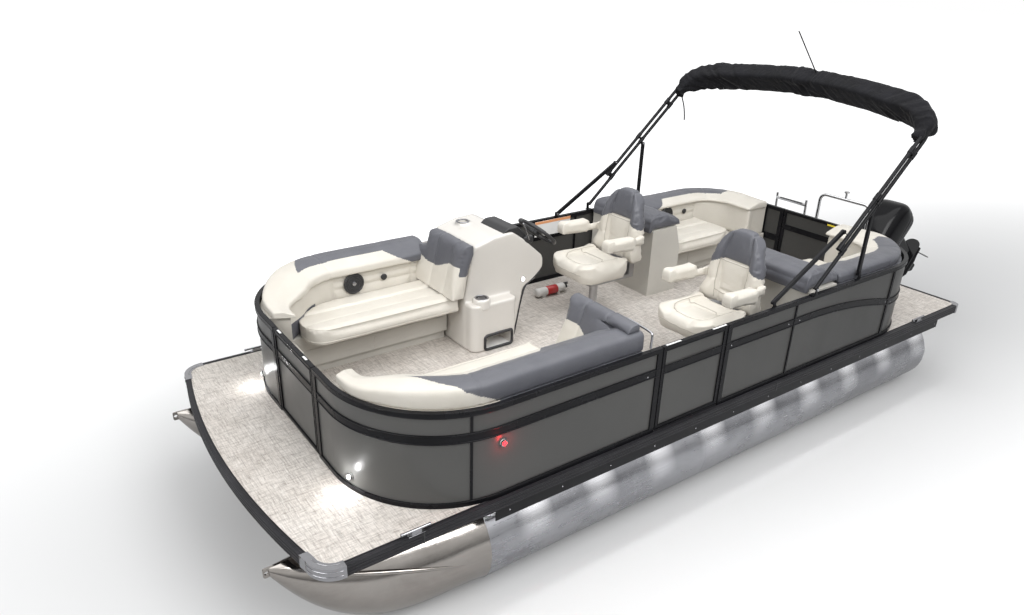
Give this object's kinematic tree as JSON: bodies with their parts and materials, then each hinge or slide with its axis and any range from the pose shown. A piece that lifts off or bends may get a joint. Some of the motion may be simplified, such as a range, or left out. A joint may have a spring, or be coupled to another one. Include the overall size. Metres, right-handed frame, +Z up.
{
  "type": "pontoon boat",
  "caption": "Open pontoon boat with railed cockpit, inward-opening gates, padded lounges, helm, swivel chairs, folded sun top, tow bar, stern ladder and tilting outboard engine.",
  "frame": {"origin": "centre of the boat's box on the ground, midway between bow and stern extremes, under the tubes", "axes": "+X to port, +Y aft to the stern, +Z up; the bow points to -Y"},
  "size_m": [2.598, 8.2882, 3.129],
  "materials": {
    "tube_aluminium": "satin",
    "nose_aluminium": "polished",
    "deck_covering": "woven",
    "rub_strip": "satin",
    "skirt_paint": "satin",
    "bright_metal": "polished",
    "rail_paint": "satin",
    "panel_paint": "gloss",
    "cream_vinyl": "satin",
    "slate_vinyl": "satin",
    "moulded_base": "satin",
    "console_shell": "gloss",
    "black_trim": "satin",
    "white_plastic": "gloss",
    "seat_steel": "satin",
    "frame_paint": "satin",
    "canopy_cloth": "woven",
    "steel_tube": "satin",
    "engine_paint": "gloss",
    "bracket_paint": "satin"
  },
  "bodies": {
    "boat": {"pontoon_tubes": "tube_aluminium", "nose_cones": "nose_aluminium", "tube_risers": "tube_aluminium", "cross_members": "tube_aluminium", "motor_pod": "tube_aluminium", "deck": "deck_covering", "rub_rail": "rub_strip", "side_skirts": "skirt_paint", "corner_caps": "bright_metal", "cleats": "bright_metal", "backrests": "slate_vinyl", "stern_cabinets": "moulded_base", "speakers": "black_trim", "helm_console": "console_shell", "dash": "black_trim", "extinguisher": "white_plastic", "seat_pedestals": "seat_steel", "bimini_mounts": "frame_paint", "tow_bar": "steel_tube", "ladder_hinge": "steel_tube", "clamp_bracket": "bracket_paint", "fence_lights": "white_plastic", "fence_frame_port_bow": "rail_paint", "fence_panels_port_bow": "panel_paint", "fence_frame_port_stern": "rail_paint", "fence_panels_port_stern": "panel_paint", "fence_frame_starboard": "rail_paint", "fence_panels_starboard": "panel_paint", "lounge_bases": "moulded_base", "lounge_liners": "cream_vinyl", "lounge_cushions": "cream_vinyl", "lounge_bolsters": "slate_vinyl"},
    "bow_gate": {"bow_gate_frame": "rail_paint", "bow_gate_panel": "panel_paint"},
    "side_gate": {"side_gate_frame": "rail_paint", "side_gate_panel": "panel_paint"},
    "stern_gate": {"stern_gate_frame": "rail_paint", "stern_gate_panel": "panel_paint"},
    "helm_seat": {"helm_seat_plate": "seat_steel", "helm_seat_cushion": "cream_vinyl", "helm_seat_back": "cream_vinyl", "helm_seat_arms": "cream_vinyl"},
    "passenger_seat": {"passenger_seat_plate": "seat_steel", "passenger_seat_cushion": "cream_vinyl", "passenger_seat_back": "cream_vinyl", "passenger_seat_arms": "cream_vinyl"},
    "steering_wheel": {"steering_wheel": "black_trim"},
    "sun_top": {"bimini_arch": "frame_paint", "bimini_boot": "canopy_cloth", "light_pole": "frame_paint"},
    "front_struts": {"front_struts": "frame_paint"},
    "rear_struts": {"rear_struts": "frame_paint"},
    "ladder": {"ladder": "steel_tube"},
    "engine_bracket": {"swivel_bracket": "bracket_paint"},
    "engine": {"engine_leg": "engine_paint", "engine_cowl": "engine_paint"},
    "propeller": {"propeller": "engine_paint"}
  },
  "joints": [
    {"name": "bow_gate_hinge", "type": "hinge", "parent": "boat", "child": "bow_gate", "pos_m": [-0.32, -3.5161, 1.0775], "axis": [0, 0, 1], "range_deg": [0, 90]},
    {"name": "side_gate_hinge", "type": "hinge", "parent": "boat", "child": "side_gate", "pos_m": [1.23, -1.6011, 1.0775], "axis": [0, 0, 1], "range_deg": [0, 90]},
    {"name": "stern_gate_hinge", "type": "hinge", "parent": "boat", "child": "stern_gate", "pos_m": [-0.25, 1.6589, 1.0775], "axis": [0, 0, -1], "range_deg": [0, 90]},
    {"name": "helm_seat_swivel", "type": "hinge", "parent": "boat", "child": "helm_seat", "pos_m": [-0.44, -0.6511, 1.0775], "axis": [0, 0, 1], "continuous": true},
    {"name": "passenger_seat_swivel", "type": "hinge", "parent": "boat", "child": "passenger_seat", "pos_m": [0.785, -0.6111, 1.0775], "axis": [0, 0, 1], "continuous": true},
    {"name": "steering_wheel_turn", "type": "hinge", "parent": "boat", "child": "steering_wheel", "pos_m": [-0.52, -1.2461, 1.6025], "axis": [0, 0.6428, 0.766], "range_deg": [-540, 540]},
    {"name": "sun_top_fold", "type": "hinge", "parent": "boat", "child": "sun_top", "pos_m": [0, -0.0311, 1.4575], "axis": [-1, 0, 0], "range_deg": [0, 28]},
    {"name": "front_strut_fold", "type": "hinge", "parent": "boat", "child": "front_struts", "pos_m": [0, -0.4611, 1.4375], "axis": [-1, 0, 0], "range_deg": [0, 25]},
    {"name": "rear_strut_fold", "type": "hinge", "parent": "boat", "child": "rear_struts", "pos_m": [0, 0.5889, 1.4375], "axis": [-1, 0, 0], "range_deg": [0, 87]},
    {"name": "ladder_swing", "type": "hinge", "parent": "boat", "child": "ladder", "pos_m": [-0.675, 2.4269, 0.8115], "axis": [-1, 0, 0], "range_deg": [0, 165]},
    {"name": "engine_tilt", "type": "hinge", "parent": "boat", "child": "engine_bracket", "pos_m": [0, 3.2789, 0.7175], "axis": [1, 0, 0], "range_deg": [-54, 15]},
    {"name": "engine_steer", "type": "hinge", "parent": "engine_bracket", "child": "engine", "pos_m": [0, 3.33354, 0.78261], "axis": [0, -0.766, 0.6428], "range_deg": [-30, 30]},
    {"name": "propeller_spin", "type": "hinge", "parent": "engine", "child": "propeller", "pos_m": [0, 4.04773, 0.59454], "axis": [0, 0.6428, 0.766], "continuous": true}
  ],
  "couplings": [
    {"joint": "front_strut_fold", "follows": "sun_top_fold", "ratio": 0.89286},
    {"joint": "rear_strut_fold", "follows": "sun_top_fold", "ratio": 3.1071},
    {"joint": "steering_wheel_turn", "follows": "engine_steer", "ratio": -18}
  ]
}
